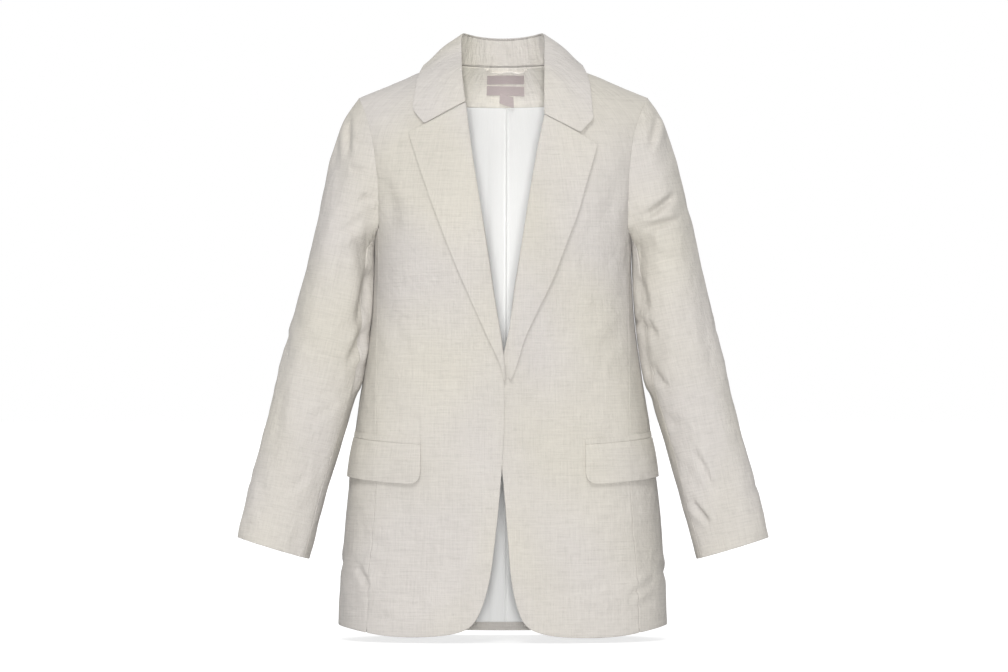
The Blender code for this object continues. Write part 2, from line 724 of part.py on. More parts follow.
def build_labels(material):
    """Make the two neck labels and the small size tab below them, all plain."""
    sizes = {
        # name: left x, right x, top z, bottom z, tilt, face
        "neck_label_upper": (-0.0235, 0.0305, -0.0095, -0.0217, 0.0006, LABEL_FACE),
        "neck_label_lower": (-0.0235, 0.0305, -0.0237, -0.0373, -0.0010, LABEL_FACE),
        "size_tab": (-0.0050, 0.0150, -0.0340, -0.0490, -0.0060, TAB_FACE),
    }
    for name, (left, right, top, bottom, tilt, face) in sizes.items():
        def place(across, down, lift, left=left, right=right, top=top, bottom=bottom, tilt=tilt, face=face):
            x = left + (right - left) * across
            return back_at(x, top + (bottom - top) * down + tilt * across, lift + face)

        layered(name, place, np.linspace(0.0, 1.0, 5), (0.0, 0.5, 1.0), LABEL, material)


def build_loop(material):
    """Make the hanger loop, a thin rouleau sewn in at both ends."""
    route = np.array([
        # x,      z
        (-0.0240, -0.0004),
        (-0.0180, -0.0044),
        (-0.0060, -0.0056),
        (0.0100, -0.0034),
        (0.0240, -0.0058),
        (0.0310, -0.0042),
        (0.0345, -0.0002),
    ])
    curve = bpy.data.curves.new("hanger_loop", "CURVE")
    curve.dimensions = "3D"
    curve.bevel_depth = LOOP_RADIUS
    curve.bevel_resolution = 2
    curve.use_fill_caps = True
    line = curve.splines.new("POLY")
    spots = np.linspace(0.0, 1.0, 19)
    keys = np.linspace(0.0, 1.0, len(route))
    line.points.add(len(spots) - 1)
    for point, spot in zip(line.points, spots):
        x = np.interp(spot, keys, route[:, 0])
        z = np.interp(spot, keys, route[:, 1])
        point.co = (*back_at(x, z, LOOP_FACE), 1.0)
    curve.materials.append(material)
    bpy.context.scene.collection.objects.link(bpy.data.objects.new("hanger_loop", curve))


def main():
    """Build the blazer piece by piece."""
    clear_scene()
    linen = finish("linen", LINEN, 0.9)
    white = finish("lining", WHITE, 0.6)
    mauve = finish("label", MAUVE, 0.7)
    for side in ("right", "left"):
        build_front(side, linen)
        build_side_panel(side, linen)
        build_lapel(side, linen)
        build_sleeve(side, linen)
        build_pocket(side, linen)
    build_back(linen)
    build_back_linings(linen, white)
    build_collar(linen)
    build_labels(mauve)
    build_loop(linen)


main()
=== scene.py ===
"""Looks of the single breasted linen blazer: fine cloth shells, creases, finishes and studio.

Every cloth piece is a finely divided copy of its own solid in the frame, so it keeps that solid's
place and form. Soft troughs and ridges are then laid on it from short, listed tables of creases.
Metres, +Z up; the front faces -Y and +X is the wearer's left.
"""
import logging
import math
from dataclasses import dataclass, field
from enum import Enum
from typing import Sequence

import bmesh
import bpy
import numpy as np
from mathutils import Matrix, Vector, noise
from mathutils.kdtree import KDTree


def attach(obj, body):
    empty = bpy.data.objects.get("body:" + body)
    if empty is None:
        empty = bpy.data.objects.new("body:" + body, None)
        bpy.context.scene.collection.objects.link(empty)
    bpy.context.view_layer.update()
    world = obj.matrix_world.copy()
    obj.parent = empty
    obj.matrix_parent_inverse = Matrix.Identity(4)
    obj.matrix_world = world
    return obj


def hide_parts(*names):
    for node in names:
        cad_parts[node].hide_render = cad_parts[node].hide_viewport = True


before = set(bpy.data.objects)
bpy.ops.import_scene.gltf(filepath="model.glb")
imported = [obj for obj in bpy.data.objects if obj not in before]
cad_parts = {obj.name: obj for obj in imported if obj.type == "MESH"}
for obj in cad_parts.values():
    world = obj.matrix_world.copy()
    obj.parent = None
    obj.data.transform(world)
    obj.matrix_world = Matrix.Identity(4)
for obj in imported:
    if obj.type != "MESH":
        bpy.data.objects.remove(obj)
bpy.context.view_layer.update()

LOG = logging.getLogger("blazer")
Colour = tuple[float, float, float, float]
Flat = tuple[float, float]
Place = tuple[float, float, float]

PIECE_PREFIX = "cloth_"

# How a solid's loose triangles become a fine shell.
MERGE_WITHIN = 0.00002              # corners nearer than this are one point, in metres
QUAD_BEND = math.radians(55.0)      # two triangles that bend less than this may join as one face
QUAD_SKEW = math.radians(75.0)
RIM_ANGLE = math.radians(50.0)      # an edge that bends more than this is the wall's cut rim
RIM_HARDNESS = 0.85

# A crease's section: one trough with a raised lip on each side, in units of its own width.
LIPS = ((0.55, 1.7, 1.2), (0.3, -1.9, 1.3))  # height as a share of the depth, place, width
END_POWER = 2.4                     # how bluntly a crease ends
TURN_GAIN = 2.2                     # how quickly it fades in as the cloth turns to its face
TURN_START = 0.1

# The cloth's loose wander between its creases: waves for each metre along X, Y and Z.
BROAD_WAVES = (17.0, 17.0, 6.0)
FINE_WAVES = (55.0, 55.0, 34.0)
FINE_START = 9.0
FINE_SHARE = 0.34

# How a sleeve lies against the body at the armhole.
SETTLE_REACH = 0.016                # cloth this near to another shell is drawn in against it
SETTLE_PRESS = 0.0007               # it presses into the other's nap by this much where they touch
SETTLE_FOOT = -0.455                # below this height the arm hangs clear
SETTLE_FADE = 0.018                 # the pull fades out over this height
LEAST_GAP = 1e-4

# Even factors on a colour's channels.
COOLER = (0.985, 0.985, 1.045, 1.0)
DUSKIER = (0.88, 0.88, 0.88, 1.0)

# The room's light from behind the camera (0) to behind the coat (1).
ROOM_LIGHT = ((0.0, 0.06), (0.25, 0.15), (0.5, 0.95), (0.8, 1.0))


class Face(Enum):
    """The way a crease is looked at when it is laid on the cloth."""

    FRONT = "front"
    BACK = "back"
    LEFT = "left"
    RIGHT = "right"


class Slot(Enum):
    """What a piece is made of; the stand and the facing are the same linen, each with painted light: a
    brighter copy of its colour that makes up for the shade inside the neck.
    """

    LINEN = "linen"
    STAND_PAINTED_BRIGHTER = "stand painted brighter"
    FACING_PAINTED_BRIGHTER = "facing painted brighter"
    LINING = "lining"
    LABEL = "label"

    def recorded(self) -> str:
        """Return the record's name for this material."""
        return Slot.LINEN.value if self in (Slot.STAND_PAINTED_BRIGHTER, Slot.FACING_PAINTED_BRIGHTER) else self.value


@dataclass(frozen=True)
class Crease:
    """A soft trough (or ridge, where depth is negative) along a slightly bowed line.

    Args:
        face: The side it is seen from.
        start: Its first end, across and up, in metres.
        end: Its other end.
        depth: How deep its middle is, in metres.
        width: Half the trough's width, in metres.
        bow: How far its middle is moved to one side, in metres.
    """

    face: Face
    start: Flat
    end: Flat
    depth: float = 0.003
    width: float = 0.006
    bow: float = 0.0

    def across(self, points: np.ndarray) -> np.ndarray:
        """Return the points as this crease's face shows them: across and up."""
        column = 0 if self.face in (Face.FRONT, Face.BACK) else 1
        return points[:, (column, 2)]

    def facing(self, normals: np.ndarray) -> np.ndarray:
        """Return how far each point looks towards this crease's face.

        Args:
            normals: Each point's outward direction.

        Returns:
            A share from 0 to 1 for each point.
        """
        way = {Face.FRONT: (1, -1.0), Face.BACK: (1, 1.0), Face.LEFT: (0, 1.0), Face.RIGHT: (0, -1.0)}
        axis, sign = way[self.face]
        return np.clip(normals[:, axis] * sign * TURN_GAIN + TURN_START, 0.0, 1.0)

    def shift(self, points: np.ndarray, outward: np.ndarray) -> np.ndarray:
        """Return how far this crease moves each point out along its outward direction.

        Args:
            points: The cloth's points.
            outward: Each point's outward direction.

        Returns:
            One signed distance for each point.
        """
        seen = self.across(points)
        start = np.array(self.start)
        run = np.array(self.end) - start
        length = float(np.linalg.norm(run)) or 1e-6
        along_way = run / length
        side_way = np.array((-along_way[1], along_way[0]))
        offset = seen - start
        along = offset @ along_way / length
        bowed = self.bow * 4.0 * along * (1.0 - along)
        aside = (offset @ side_way - np.where((along > 0) & (along < 1), bowed, 0.0)) / self.width
        reach = np.clip(1.0 - np.abs(along * 2.0 - 1.0) ** END_POWER, 0.0, 1.0)
        trough = -np.exp(-aside ** 2)
        lips = sum(height * np.exp(-((aside - place) / width) ** 2) for height, place, width in LIPS)
        return self.depth * reach * (trough + lips) * self.facing(outward)


@dataclass(frozen=True)
class Finish:
    """What every finish shares: its name and its first colour, roughness and sheen.

    Args:
        name: The material's name.
        colour: Its base colour, linear.
        roughness: Its roughness.
        sheen: The weight of its soft edge light.
    """

    name: str
    colour: Colour
    roughness: float
    sheen: float

    def shader(self) -> tuple[bpy.types.Material, bpy.types.ShaderNode]:
        """Make the material and set the even values on its shader's sockets.

        Returns:
            The new material and its shader.
        """
        material = bpy.data.materials.new(self.name)
        material.use_nodes = True
        shader = material.node_tree.nodes["Principled BSDF"]
        shader.inputs["Base Color"].default_value = self.colour
        shader.inputs["Roughness"].default_value = self.roughness
        shader.inputs["Sheen Weight"].default_value = self.sheen
        shader.inputs["Sheen Roughness"].default_value = 0.5
        shader.inputs["Specular IOR Level"].default_value = 0.25
        return material, shader


class Nodes:
    """A short way to add and join the nodes of a material or of the world."""

    def __init__(self, owner: bpy.types.Material | bpy.types.World) -> None:
        """Keep the owner's node tree."""
        self.tree = owner.node_tree

    def add(self, kind: str, **values: object) -> bpy.types.ShaderNode:
        """Add a node and set its own properties.

        Args:
            kind: The node's type name.
            **values: Its properties.

        Returns:
            The new node.
        """
        node = self.tree.nodes.new(kind)
        for key, value in values.items():
            setattr(node, key, value)
        return node

    def link(self, source: bpy.types.NodeSocket, target: bpy.types.NodeSocket) -> None:
        """Join two sockets."""
        self.tree.links.new(source, target)

    def streaks(self, scale: Place, detail: float, place: Place = (0.0, 0.0, 0.0)) -> bpy.types.NodeSocket:
        """Return noise drawn out along the cloth's threads.

        Args:
            scale: Cycles for each metre across, along and out of the cloth.
            detail: The noise's detail.
            place: Where in the noise the cloth lies.

        Returns:
            The noise's factor socket.
        """
        coords = self.add("ShaderNodeUVMap", uv_map="cloth")
        mapping = self.add("ShaderNodeMapping")
        mapping.inputs["Scale"].default_value = scale
        mapping.inputs["Location"].default_value = place
        grain = self.add("ShaderNodeTexNoise")
        grain.inputs["Scale"].default_value = 1.0
        grain.inputs["Detail"].default_value = detail
        grain.inputs["Roughness"].default_value = 0.6
        self.link(coords.outputs["UV"], mapping.inputs["Vector"])
        self.link(mapping.outputs["Vector"], grain.inputs["Vector"])
        return grain.outputs["Fac"]

    def ramp(
        self, value: bpy.types.NodeSocket, stops: Sequence[tuple[float, Colour]]
    ) -> bpy.types.NodeSocket:
        """Read a colour from a ramp.

        Args:
            value: What is looked up in the ramp.
            stops: Each stop's place and colour.

        Returns:
            The ramp's colour socket.
        """
        ramp = self.add("ShaderNodeValToRGB")
        while len(ramp.color_ramp.elements) < len(stops):
            ramp.color_ramp.elements.new(0.5)
        for element, (place, colour) in zip(ramp.color_ramp.elements, stops):
            element.position = place
            element.color = colour
        self.link(value, ramp.inputs["Fac"])
        return ramp.outputs["Color"]

    def multiply(self, first: bpy.types.NodeSocket, second: bpy.types.NodeSocket) -> bpy.types.NodeSocket:
        """Multiply two colours.

        Args:
            first: One colour's socket.
            second: The other's.

        Returns:
            The product's socket.
        """
        mix = self.add("ShaderNodeMix", data_type="RGBA", blend_type="MULTIPLY")
        mix.inputs["Factor"].default_value = 1.0
        self.link(first, mix.inputs["A"])
        self.link(second, mix.inputs["B"])
        return mix.outputs["Result"]

    def total(self, parts: Sequence[tuple[bpy.types.NodeSocket, float]]) -> bpy.types.NodeSocket:
        """Add up values, each by its weight.

        Args:
            parts: Each value's socket and its weight.

        Returns:
            The sum's socket.
        """
        result = None
        for socket, weight in parts:
            scaled = self.add("ShaderNodeMath", operation="MULTIPLY_ADD")
            scaled.inputs[1].default_value = weight
            scaled.inputs[2].default_value = 0.0
            self.link(socket, scaled.inputs[0])
            if result is not None:
                self.link(result, scaled.inputs[2])
            result = scaled.outputs[0]
        return result

    def bump(self, height: bpy.types.NodeSocket, depth: float, shader: bpy.types.ShaderNode) -> None:
        """Give the shader a bump of a real depth.

        Args:
            height: The height's socket.
            depth: How deep a height of 1 is, in metres.
            shader: The shader that gets the bump.
        """
        bump = self.add("ShaderNodeBump")
        bump.inputs["Strength"].default_value = 1.0
        bump.inputs["Distance"].default_value = depth
        self.link(height, bump.inputs["Height"])
        self.link(bump.outputs["Normal"], shader.inputs["Normal"])


def grey(value: float) -> Colour:
    """Return an even grey."""
    return (value, value, value, 1.0)


def tinted(colour: Colour, factors: Colour) -> Colour:
    """Return a colour with each channel scaled."""
    return tuple(channel * factor for channel, factor in zip(colour, factors))


@dataclass(frozen=True)
class Linen(Finish):
    """Undyed linen: a plain weave with thick and thin threads both ways.

    Args:
        weft: Threads for each metre, both ways.
        slub: Thick and thin places for each metre along a thread.
        rumple: How much deeper the soft rumple is than the threads.
    """

    weft: float = 950.0
    slub: float = 55.0
    rumple: float = 3.4

    def build(self) -> bpy.types.Material:
        """Weave the threads, their thick and thin places and the rumple from noise on the cloth map.

        Returns:
            The material.
        """
        material, shader = self.shader()
        nodes = Nodes(material)
        across = nodes.streaks((self.slub, self.weft, 1.0), 2.0)
        down = nodes.streaks((self.weft, self.slub, 1.0), 2.0, (3.0, 7.0, 0.0))
        thick_across = nodes.streaks((16.0, 420.0, 1.0), 1.0, (11.0, 2.0, 0.0))
        thick_down = nodes.streaks((420.0, 13.0, 1.0), 1.0, (5.0, 17.0, 0.0))
        cloud = nodes.streaks((9.0, 6.0, 1.0), 2.0, (1.0, 4.0, 0.0))
        tone = nodes.streaks((5.0, 4.0, 1.0), 1.0, (8.0, 9.0, 0.0))
        threads = nodes.total(((across, 0.30), (down, 0.30), (thick_across, 0.22), (thick_down, 0.18)))
        worn = nodes.ramp(threads, ((0.36, grey(0.86)), (0.50, grey(0.985)), (0.66, grey(1.08))))
        base = nodes.ramp(tone, ((0.38, self.colour), (0.62, tinted(self.colour, COOLER))))
        shade = nodes.ramp(cloud, ((0.3, grey(0.965)), (0.7, grey(1.02))))
        nodes.link(nodes.multiply(nodes.multiply(base, worn), shade), shader.inputs["Base Color"])
        rumple = nodes.streaks((34.0, 27.0, 1.0), 3.0, (6.0, 3.0, 0.0))
        nodes.bump(nodes.total(((threads, 1.0), (rumple, self.rumple))), 0.0011, shader)
        return material


@dataclass(frozen=True)
class Satin(Finish):
    """Smooth white lining with a faint run of threads."""

    def build(self) -> bpy.types.Material:
        """Draw the fine threads and the slow waves of the lining.

        Returns:
            The material.
        """
        material, shader = self.shader()
        nodes = Nodes(material)
        fine = nodes.streaks((1300.0, 40.0, 1.0), 1.0)
        wave = nodes.streaks((30.0, 3.0, 1.0), 2.0, (2.0, 6.0, 0.0))
        tint = nodes.ramp(wave, ((0.3, self.colour), (0.7, tuple(min(c * 1.04, 0.92) for c in self.colour))))
        nodes.link(nodes.multiply(tint, nodes.ramp(fine, ((0.3, grey(0.97)), (0.7, grey(1.0))))),
                   shader.inputs["Base Color"])
        nodes.bump(nodes.total(((fine, 0.15), (wave, 0.85))), 0.0012, shader)
        return material


@dataclass(frozen=True)
class Woven(Finish):
    """Plain woven label tape: fine ribs across and a paler selvedge thread here and there."""

    def build(self) -> bpy.types.Material:
        """Draw the ribs and the figure of the tape.

        Returns:
            The material.
        """
        material, shader = self.shader()
        nodes = Nodes(material)
        ribs = nodes.streaks((60.0, 1500.0, 1.0), 1.0)
        damask = nodes.streaks((700.0, 500.0, 1.0), 2.0, (4.0, 1.0, 0.0))
        both = nodes.total(((ribs, 0.5), (damask, 0.5)))
        tint = nodes.ramp(both, ((0.35, tinted(self.colour, DUSKIER)), (0.68, self.colour)))
        nodes.link(tint, shader.inputs["Base Color"])
        nodes.bump(both, 0.0006, shader)
        return material


@dataclass(frozen=True)
class Matte(Finish):
    """Plain studio paper, brighter to the camera than to the coat.

    Args:
        glow: How much brighter it looks.
    """

    glow: float = 0.3

    def build(self) -> bpy.types.Material:
        """Make the paper glow to the camera alone.

        Returns:
            The material.
        """
        material, shader = self.shader()
        nodes = Nodes(material)
        seen = nodes.add("ShaderNodeLightPath")
        shader.inputs["Emission Color"].default_value = grey(1.0)
        glow = nodes.total(((seen.outputs["Is Camera Ray"], self.glow),))
        nodes.link(glow, shader.inputs["Emission Strength"])
        return material


class Hang(Enum):
    DRAPED = "draped"
    HUNG = "hung"
    FOLDED = "folded"
    LAID = "laid"


@dataclass(frozen=True)
class Cut:
    """One cut piece of cloth.

    Args:
        node: The solid that it refines and replaces.
        flat: Its width and length before it is sewn, in metres; not used.
        area: Its flat area in square metres; not used.
        hang: How it is held; not used.
        rests_on: What it lies on or hangs from; not used.
        slot: Its material slot.
        levels: How many times its solid is divided.
    """

    node: str
    flat: Flat
    area: float
    hang: Hang
    rests_on: tuple[str, ...]
    slot: Slot = Slot.LINEN
    levels: int = 3


@dataclass(frozen=True)
class Axis:
    """The line that a piece of cloth wraps round, and where its width is counted from.

    Args:
        foot: The line's lower end.
        top: Its upper end.
        heading: The way that the width's middle faces.
        radius: The usual distance of the cloth from the line.
    """

    foot: Vector
    top: Vector
    heading: Vector
    radius: float

    def frame_of(self) -> tuple[np.ndarray, np.ndarray, np.ndarray, np.ndarray]:
        """Work out the line's own frame.

        Returns:
            The line's foot, its direction, the heading and the way across them.
        """
        way = (self.top - self.foot).normalized()
        ahead = (self.heading - way * self.heading.dot(way)).normalized()
        return tuple(np.array(v) for v in (self.foot, way, ahead, way.cross(ahead)))

    def outward(self, points: np.ndarray) -> np.ndarray:
        """Find each point's direction away from the line, which tilts up above the line's top.

        Args:
            points: The cloth's points.

        Returns:
            A direction of length 1 for each point.
        """
        foot, way, _, _ = self.frame_of()
        offset = points - foot
        along = np.clip(offset @ way, 0.0, (self.top - self.foot).length)
        away = offset - along[:, None] * way
        return away / np.maximum(np.linalg.norm(away, axis=1, keepdims=True), 1e-6)

    def flatten(self, points: np.ndarray) -> np.ndarray:
        """Unroll the cloth from the line.

        Args:
            points: The cloth's points.

        Returns:
            Each point's place on the cloth, across and along, in metres.
        """
        foot, way, ahead, across = self.frame_of()
        offset = points - foot
        angle = np.arctan2(offset @ across, offset @ ahead)
        return np.column_stack((angle * self.radius, offset @ way))


def deselect() -> None:
    """Leave edit mode and select nothing."""
    if bpy.context.mode != "OBJECT":
        bpy.ops.object.mode_set(mode="OBJECT")
    bpy.ops.object.select_all(action="DESELECT")


def pick(piece: bpy.types.Object) -> None:
    """Select one piece alone and make it active.

    Args:
        piece: The piece.
    """
    deselect()
    piece.select_set(True)
    bpy.context.view_layer.objects.active = piece


def points_of(piece: bpy.types.Object) -> np.ndarray:
    """Read a piece's points.

    Args:
        piece: The piece.

    Returns:
        A row for each point: X, Y and Z.
    """
    found = np.empty(len(piece.data.vertices) * 3)
    piece.data.vertices.foreach_get("co", found)
    return found.reshape(-1, 3)


def move_points(piece: bpy.types.Object, points: np.ndarray) -> None:
    """Put a piece's points at new places."""
    piece.data.vertices.foreach_set("co", points.ravel())
    piece.data.update()


def waves(points: np.ndarray, scale: Place, start: float = 0.0) -> np.ndarray:
    """Read smooth noise at each point.

    Args:
        points: The points.
        scale: Waves for each metre along X, Y and Z.
        start: How far along the noise's own first axis the points lie.

    Returns:
        One value for each point.
    """
    right, back, up = scale
    return np.array([noise.noise(Vector((x * right + start, y * back, z * up))) for x, y, z in points])


def keep_hard_edges(piece: bpy.types.Object) -> None:
    """Mark a wall's rim edges, so that dividing it keeps the cut edge.

    Args:
        piece: The undivided piece.
    """
    mesh = bmesh.new()
    mesh.from_mesh(piece.data)
    crease = mesh.edges.layers.float.get("crease_edge") or mesh.edges.layers.float.new("crease_edge")
    for edge in mesh.edges:
        if len(edge.link_faces) == 2 and edge.calc_face_angle(0.0) > RIM_ANGLE:
            edge[crease] = RIM_HARDNESS
    mesh.to_mesh(piece.data)
    mesh.free()


def fine_shell(cut: Cut) -> bpy.types.Object:
    """Return a finely divided copy of a cut piece's solid.

    Args:
        cut: The piece.

    Returns:
        The new object, at the origin, shaded smooth.
    """
    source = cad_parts[cut.node]
    piece = source.copy()
    piece.data = source.data.copy()
    piece.name = PIECE_PREFIX + cut.node
    piece.data.name = piece.name
    bpy.context.scene.collection.objects.link(piece)
    pick(piece)
    bpy.ops.object.mode_set(mode="EDIT")
    bpy.ops.mesh.select_all(action="SELECT")
    bpy.ops.mesh.remove_doubles(threshold=MERGE_WITHIN)
    bpy.ops.mesh.tris_convert_to_quads(face_threshold=QUAD_BEND, shape_threshold=QUAD_SKEW)
    bpy.ops.object.mode_set(mode="OBJECT")
    keep_hard_edges(piece)
    smooth = piece.modifiers.new("fine", "SUBSURF")
    smooth.levels = cut.levels
    smooth.render_levels = cut.levels
    bpy.ops.object.modifier_apply(modifier=smooth.name)
    piece.data.shade_smooth()
    return piece


@dataclass
class Assembly:
    """A group of cloth pieces that wrap round one line and share their creases.

    Args:
        axis: The line they wrap round.
        cuts: The pieces.
        creases: The folds laid on them, as listed.
        slack: How far the cloth wanders in and out between folds, in metres.
        settles_on: The nodes whose shells this cloth lies close against.
        made: The finished pieces, in the order of the cuts.
    """

    axis: Axis
    cuts: tuple[Cut, ...]
    creases: tuple[Crease, ...] = ()
    slack: float = 0.0010
    settles_on: tuple[str, ...] = ()
    made: list[bpy.types.Object] = field(default_factory=list)

    def build(self) -> None:
        """Make every piece's shell and lay its creases."""
        for cut in self.cuts:
            piece = fine_shell(cut)
            self.lay_creases(piece)
            if self.settles_on:
                self.settle(piece)
            self.map_cloth(piece)
            self.made.append(piece)

    def lay_creases(self, piece: bpy.types.Object) -> None:
        """Move a piece's points in and out along its creases and its loose wander.

        Args:
            piece: The fine shell.
        """
        points = points_of(piece)
        outward = self.axis.outward(points)
        shift = self.wander(points)
        for crease in self.creases:
            shift += crease.shift(points, outward)
        move_points(piece, points + outward * shift[:, None])

    def settle(self, piece: bpy.types.Object) -> None:
        """Draw a piece's nearest points in against the shells beside it, down to the crook of the arm.

        Args:
            piece: The fine shell, with its creases.
        """
        beside = np.vstack([points_of(bpy.data.objects[PIECE_PREFIX + name]) for name in self.settles_on])
        tree = KDTree(len(beside))
        for index, point in enumerate(beside):
            tree.insert(point, index)
        tree.balance()
        points = points_of(piece)
        near = [tree.find(point) for point in points]
        targets = np.array([found[0] for found in near])
        gaps = np.array([found[2] for found in near])
        part = np.clip(gaps / SETTLE_REACH, 0.0, 1.0)
        closer = np.where(part < 1.0, SETTLE_REACH * part ** 3 - SETTLE_PRESS * (1.0 - part), gaps)
        kept = closer / np.maximum(gaps, LEAST_GAP)
        held = np.clip((points[:, 2] - SETTLE_FOOT) / SETTLE_FADE, 0.0, 1.0)[:, None]
        move_points(piece, points + (targets - points) * (1.0 - kept)[:, None] * held)

    def wander(self, points: np.ndarray) -> np.ndarray:
        """Return the soft, mostly upright waves of cloth that hangs loose."""
        return self.slack * (waves(points, BROAD_WAVES) + FINE_SHARE * waves(points, FINE_WAVES, FINE_START))

    def map_cloth(self, piece: bpy.types.Object) -> None:
        """Give a piece its cloth map, in metres across and along the threads.

        Args:
            piece: The finished shell.
        """
        layer = piece.data.uv_layers.new(name="cloth")
        flat = self.axis.flatten(points_of(piece))
        corners = np.empty(len(piece.data.loops), dtype=np.int32)
        piece.data.loops.foreach_get("vertex_index", corners)
        layer.data.foreach_set("uv", flat[corners].ravel())

    def dress(self, finishes: dict[Slot, bpy.types.Material]) -> None:
        """Give every piece its finish, hang it from the frame's root, hide the solid that it replaces and
        log its faces.

        Args:
            finishes: The material of each slot.
        """
        for cut, piece in zip(self.cuts, self.made):
            piece.data.materials.clear()
            piece.data.materials.append(finishes[cut.slot])
            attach(piece, "root")
            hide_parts(cut.node)
            cut.slot.recorded()
            LOG.info("%s: %d faces", piece.name, len(piece.data.polygons))


@dataclass
class Stretched(Assembly):
    """Cloth whose top edge is drawn up into a fold or seam, and its foot down.

    Args:
        rise: How far the top edge goes up, in metres.
        drop: How far the foot goes down.
        inset: How far the top edge moves in towards the line that the cloth wraps round.
        span: The top edge's share of the height, over which it fades.
    """

    rise: float = 0.0
    drop: float = 0.0
    inset: float = 0.0
    span: float = 0.5

    def lay_creases(self, piece: bpy.types.Object) -> None:
        """Stretch the piece between its two edges, in place of any crease.

        Args:
            piece: The fine shell.
        """
        points = points_of(piece)
        outward = self.axis.outward(points)
        heights = points[:, 2]
        up = (heights - heights.min()) / np.ptp(heights)
        top = np.clip((up - 1.0 + self.span) / self.span, 0.0, 1.0)
        foot = np.clip((self.span - up) / self.span, 0.0, 1.0)
        points[:, 2] += top * self.rise - foot * self.drop
        move_points(piece, points - outward * (top * self.inset)[:, None])


TORSO_FOOT = Vector((0.0, 0.0, -0.85))
TORSO_TOP = Vector((0.0, 0.0, -0.14))
TORSO_RADIUS = 0.165
ARM_RADIUS = 0.055


def torso_axis(heading: Place) -> Axis:
    """Return the body's middle line, with the cloth's width counted from one side."""
    return Axis(TORSO_FOOT, TORSO_TOP, Vector(heading), TORSO_RADIUS)


BODY_CREASES = (
    Crease(Face.FRONT, (-0.204, -0.676), (-0.180, -0.722), 0.0034, 0.0047, 0.002),
    Crease(Face.FRONT, (-0.186, -0.742), (-0.160, -0.716), 0.0023, 0.0043, 0.006),
    Crease(Face.FRONT, (-0.180, -0.756), (-0.138, -0.752), 0.0025, 0.0038, 0.002),
    Crease(Face.FRONT, (-0.198, -0.640), (-0.150, -0.668), 0.0014, 0.0085),
    Crease(Face.FRONT, (-0.150, -0.350), (-0.120, -0.420), 0.0014, 0.0114),
    Crease(Face.FRONT, (-0.166, -0.150), (-0.148, -0.235), 0.0028, 0.0104, 0.004),
    Crease(Face.FRONT, (0.162, -0.140), (0.146, -0.228), 0.0023, 0.0114, -0.004),
    Crease(Face.FRONT, (0.170, -0.724), (0.206, -0.708), 0.0037, 0.0043, 0.001),
    Crease(Face.FRONT, (0.180, -0.737), (0.214, -0.728), 0.0028, 0.0038, 0.001),
    Crease(Face.FRONT, (0.092, -0.717), (0.134, -0.713), 0.0016, 0.0057, 0.001),
    Crease(Face.FRONT, (0.150, -0.620), (0.196, -0.652), 0.0016, 0.0085),
    Crease(Face.FRONT, (0.160, -0.360), (0.128, -0.400), 0.0016, 0.0095),
    Crease(Face.LEFT, (-0.050, -0.690), (0.040, -0.708), 0.0024, 0.0070, 0.004),
    Crease(Face.LEFT, (0.010, -0.600), (0.060, -0.640), 0.0018, 0.0080),
    Crease(Face.RIGHT, (-0.030, -0.670), (0.050, -0.700), 0.0022, 0.0070, -0.003),
    Crease(Face.RIGHT, (-0.060, -0.560), (0.000, -0.590), 0.0016, 0.0080),
    Crease(Face.BACK, (-0.150, -0.160), (-0.120, -0.290), 0.0032, 0.0123, 0.006),
    Crease(Face.BACK, (0.150, -0.150), (0.126, -0.270), 0.0030, 0.0114, -0.006),
    Crease(Face.BACK, (-0.140, -0.400), (-0.040, -0.425), 0.0021, 0.0085, 0.006),
    Crease(Face.BACK, (0.030, -0.415), (0.130, -0.390), 0.0023, 0.0076, -0.005),
    Crease(Face.BACK, (0.060, -0.455), (0.145, -0.440), 0.0016, 0.0076, -0.004),
    Crease(Face.BACK, (-0.120, -0.690), (-0.070, -0.705), 0.0025, 0.0047, 0.002),
    Crease(Face.BACK, (0.050, -0.725), (0.120, -0.712), 0.0028, 0.0047, -0.002),
    Crease(Face.BACK, (-0.030, -0.560), (-0.020, -0.700), 0.0016, 0.0142, 0.003),
    Crease(Face.BACK, (0.090, -0.560), (0.100, -0.680), 0.0016, 0.0133, 0.003),
)

